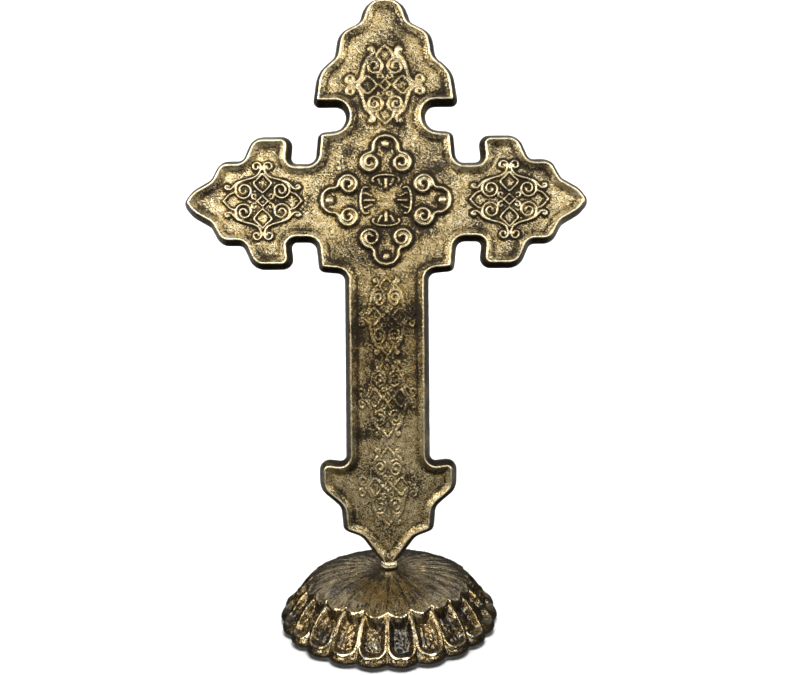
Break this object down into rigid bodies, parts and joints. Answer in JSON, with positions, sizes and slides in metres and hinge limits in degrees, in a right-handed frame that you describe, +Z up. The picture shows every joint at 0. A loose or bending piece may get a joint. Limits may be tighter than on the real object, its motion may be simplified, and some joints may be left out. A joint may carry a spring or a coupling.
{
  "type": "altar cross",
  "caption": "Free-standing altar cross with lobed arms, a raised rim and a sunken field, held by a rod to a hollow round gadrooned foot.",
  "frame": {"origin": "centre of the foot's resting plane", "axes": "+Z up, -Y towards the front, +X to the right seen from the front"},
  "size_m": [0.2012, 0.105, 0.3079],
  "materials": {
    "antique_gold": "antique gold with dark patina in the hollows",
    "plated_steel": "plain zinc plate",
    "felt": "black wool felt"
  },
  "bodies": {
    "root": {"front_shell": "antique_gold", "back_shell": "antique_gold", "solder_seam": "antique_gold", "neck_collar": "antique_gold", "foot_dome": "antique_gold", "stem_rod": "plated_steel", "wide_washer": "plated_steel", "spring_washer": "plated_steel", "hex_nut": "plated_steel", "felt_ring": "felt"}
  },
  "joints": []
}
